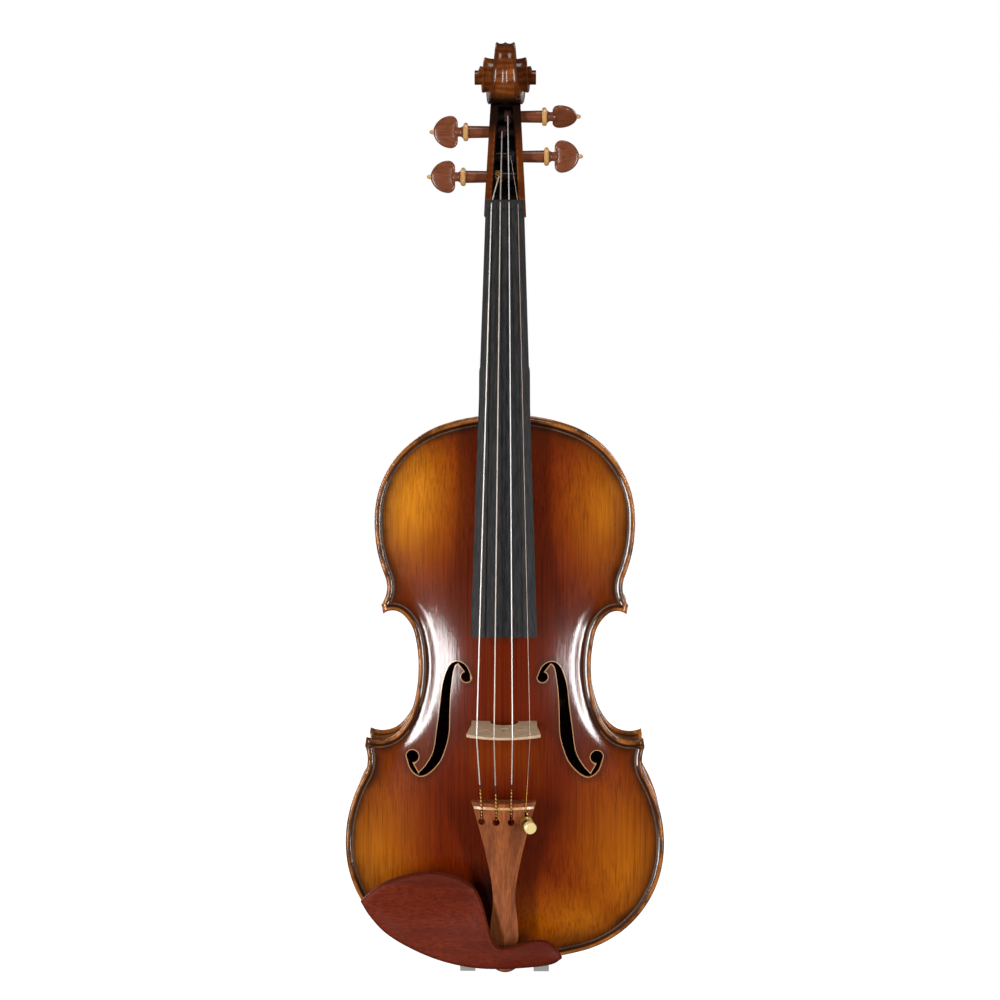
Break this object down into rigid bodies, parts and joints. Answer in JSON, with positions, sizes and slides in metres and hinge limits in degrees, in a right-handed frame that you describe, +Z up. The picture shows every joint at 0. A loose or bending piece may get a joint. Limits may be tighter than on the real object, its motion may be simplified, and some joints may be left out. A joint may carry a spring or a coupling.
{
  "type": "violin",
  "caption": "Full-size acoustic violin with arched body, f-holes, carved scroll, turning pegs, tailpiece with fine tuner, and clamped side chinrest.",
  "frame": {"origin": "on the centre line at the lower end of the body's outline, half way through the depth of the ribs, where a stand's cradle holds the violin", "axes": "+X to the treble side, +Z up along the strings towards the scroll, -Y out of the belly (front) and +Y out of the back"},
  "size_m": [0.208, 0.0931, 0.6101],
  "materials": {
    "spruce": "golden red-brown varnished spruce, straight vertical grain",
    "maple": "red-brown varnished flamed maple",
    "bare_spruce": "bare, unvarnished",
    "bare_maple": "bare, pale tan with small flecks",
    "purfling": "dark stained line with a pale core",
    "ebony": "satin black",
    "rosewood": "polished, red-brown with dark streaks",
    "boxwood": "polished yellow-tan",
    "dark_wood": "dark red-brown, dull",
    "string_metal": "smooth flat winding",
    "silk": "wound silk thread",
    "gut_cord": "smooth dark cord",
    "gilt_metal": "polished gilt",
    "steel": "plated",
    "cork": "fine cork"
  },
  "bodies": {
    "root": {"top_plate": "spruce", "back_plate": "maple", "purfling_front": "purfling", "purfling_back": "purfling", "rib_lower_bass": "maple", "rib_lower_treble": "maple", "rib_waist_bass": "maple", "rib_waist_treble": "maple", "rib_upper_bass": "maple", "rib_upper_treble": "maple", "linings_front": "bare_spruce", "linings_back": "bare_spruce", "corner_blocks": "bare_spruce", "end_block": "bare_spruce", "top_block": "bare_spruce", "bass_bar": "bare_spruce", "sound_post": "bare_spruce", "neck_and_scroll": "maple", "fingerboard": "ebony", "nut": "ebony", "saddle": "ebony", "end_button": "rosewood", "tailgut": "gut_cord", "tailpiece": "rosewood", "tailpiece_fret": "boxwood", "bridge": "bare_maple", "string_g": "string_metal", "string_d": "string_metal", "string_a": "string_metal", "string_e": "string_metal", "tuner_body": "gilt_metal", "tuner_ring": "gilt_metal", "tuner_pin": "steel", "chinrest": "dark_wood", "chinrest_cork": "cork", "clamp_bracket_left": "steel", "clamp_bracket_right": "steel"},
    "peg_g": {"peg_g": "rosewood", "peg_trim_g": "boxwood", "winding_g": "silk"},
    "peg_d": {"peg_d": "rosewood", "peg_trim_d": "boxwood", "winding_d": "silk"},
    "peg_a": {"peg_a": "rosewood", "peg_trim_a": "boxwood", "winding_a": "silk"},
    "peg_e": {"peg_e": "rosewood", "peg_trim_e": "boxwood", "winding_e": "silk"},
    "tuner_screw": {"tuner_screw": "gilt_metal"},
    "tuner_knob": {"tuner_knob": "gilt_metal"},
    "tuner_lever": {"tuner_lever": "gilt_metal"},
    "clamp_barrel_left": {"clamp_barrel_left": "steel"},
    "clamp_barrel_right": {"clamp_barrel_right": "steel"},
    "clamp_foot": {"clamp_foot": "steel", "clamp_foot_cork": "cork"}
  },
  "joints": [
    {"name": "peg_g_turn", "type": "hinge", "parent": "root", "child": "peg_g", "pos_m": [-0.015, 0.0025, 0.5113], "axis": [-1, 0, 0], "continuous": true},
    {"name": "peg_d_turn", "type": "hinge", "parent": "root", "child": "peg_d", "pos_m": [-0.015, 0.00732, 0.5405], "axis": [-1, 0, 0], "continuous": true},
    {"name": "peg_a_turn", "type": "hinge", "parent": "root", "child": "peg_a", "pos_m": [0.015, 0.00895, 0.5504], "axis": [1, 0, 0], "continuous": true},
    {"name": "peg_e_turn", "type": "hinge", "parent": "root", "child": "peg_e", "pos_m": [0.015, 0.00466, 0.5244], "axis": [1, 0, 0], "continuous": true},
    {"name": "tuner_screw_travel", "type": "slide", "parent": "root", "child": "tuner_screw", "axis": [-0.2924, 0.9354, 0.1988], "range_m": [-0.0003, 0.0008]},
    {"name": "tuner_knob_turn", "type": "hinge", "parent": "tuner_screw", "child": "tuner_knob", "pos_m": [0.0142, -0.04639, 0.0987], "axis": [-0.2924, 0.9354, 0.1988], "range_deg": [-218, 579]},
    {"name": "tuner_lever_swing", "type": "hinge", "parent": "root", "child": "tuner_lever", "pos_m": [0.01271, -0.04164, 0.10583], "axis": [0.9545, 0.2983, 0], "range_deg": [-3, 7.8]},
    {"name": "clamp_barrel_left_turn", "type": "hinge", "parent": "root", "child": "clamp_barrel_left", "pos_m": [-0.024, 0, -0.0036], "axis": [0, 1, 0], "range_deg": [-1, 774]},
    {"name": "clamp_barrel_right_turn", "type": "hinge", "parent": "root", "child": "clamp_barrel_right", "pos_m": [0.024, 0, -0.0036], "axis": [0, 1, 0], "range_deg": [-1, 774]},
    {"name": "clamp_foot_travel", "type": "slide", "parent": "root", "child": "clamp_foot", "axis": [0, 1, 0], "range_m": [0, 0.003]}
  ],
  "couplings": [
    {"joint": "tuner_knob_turn", "follows": "tuner_screw_travel", "rad_per_m": 12566},
    {"joint": "tuner_lever_swing", "follows": "tuner_screw_travel", "rad_per_m": 166.67},
    {"joint": "clamp_barrel_left_turn", "follows": "clamp_foot_travel", "rad_per_m": 4488},
    {"joint": "clamp_barrel_right_turn", "follows": "clamp_foot_travel", "rad_per_m": 4488}
  ]
}
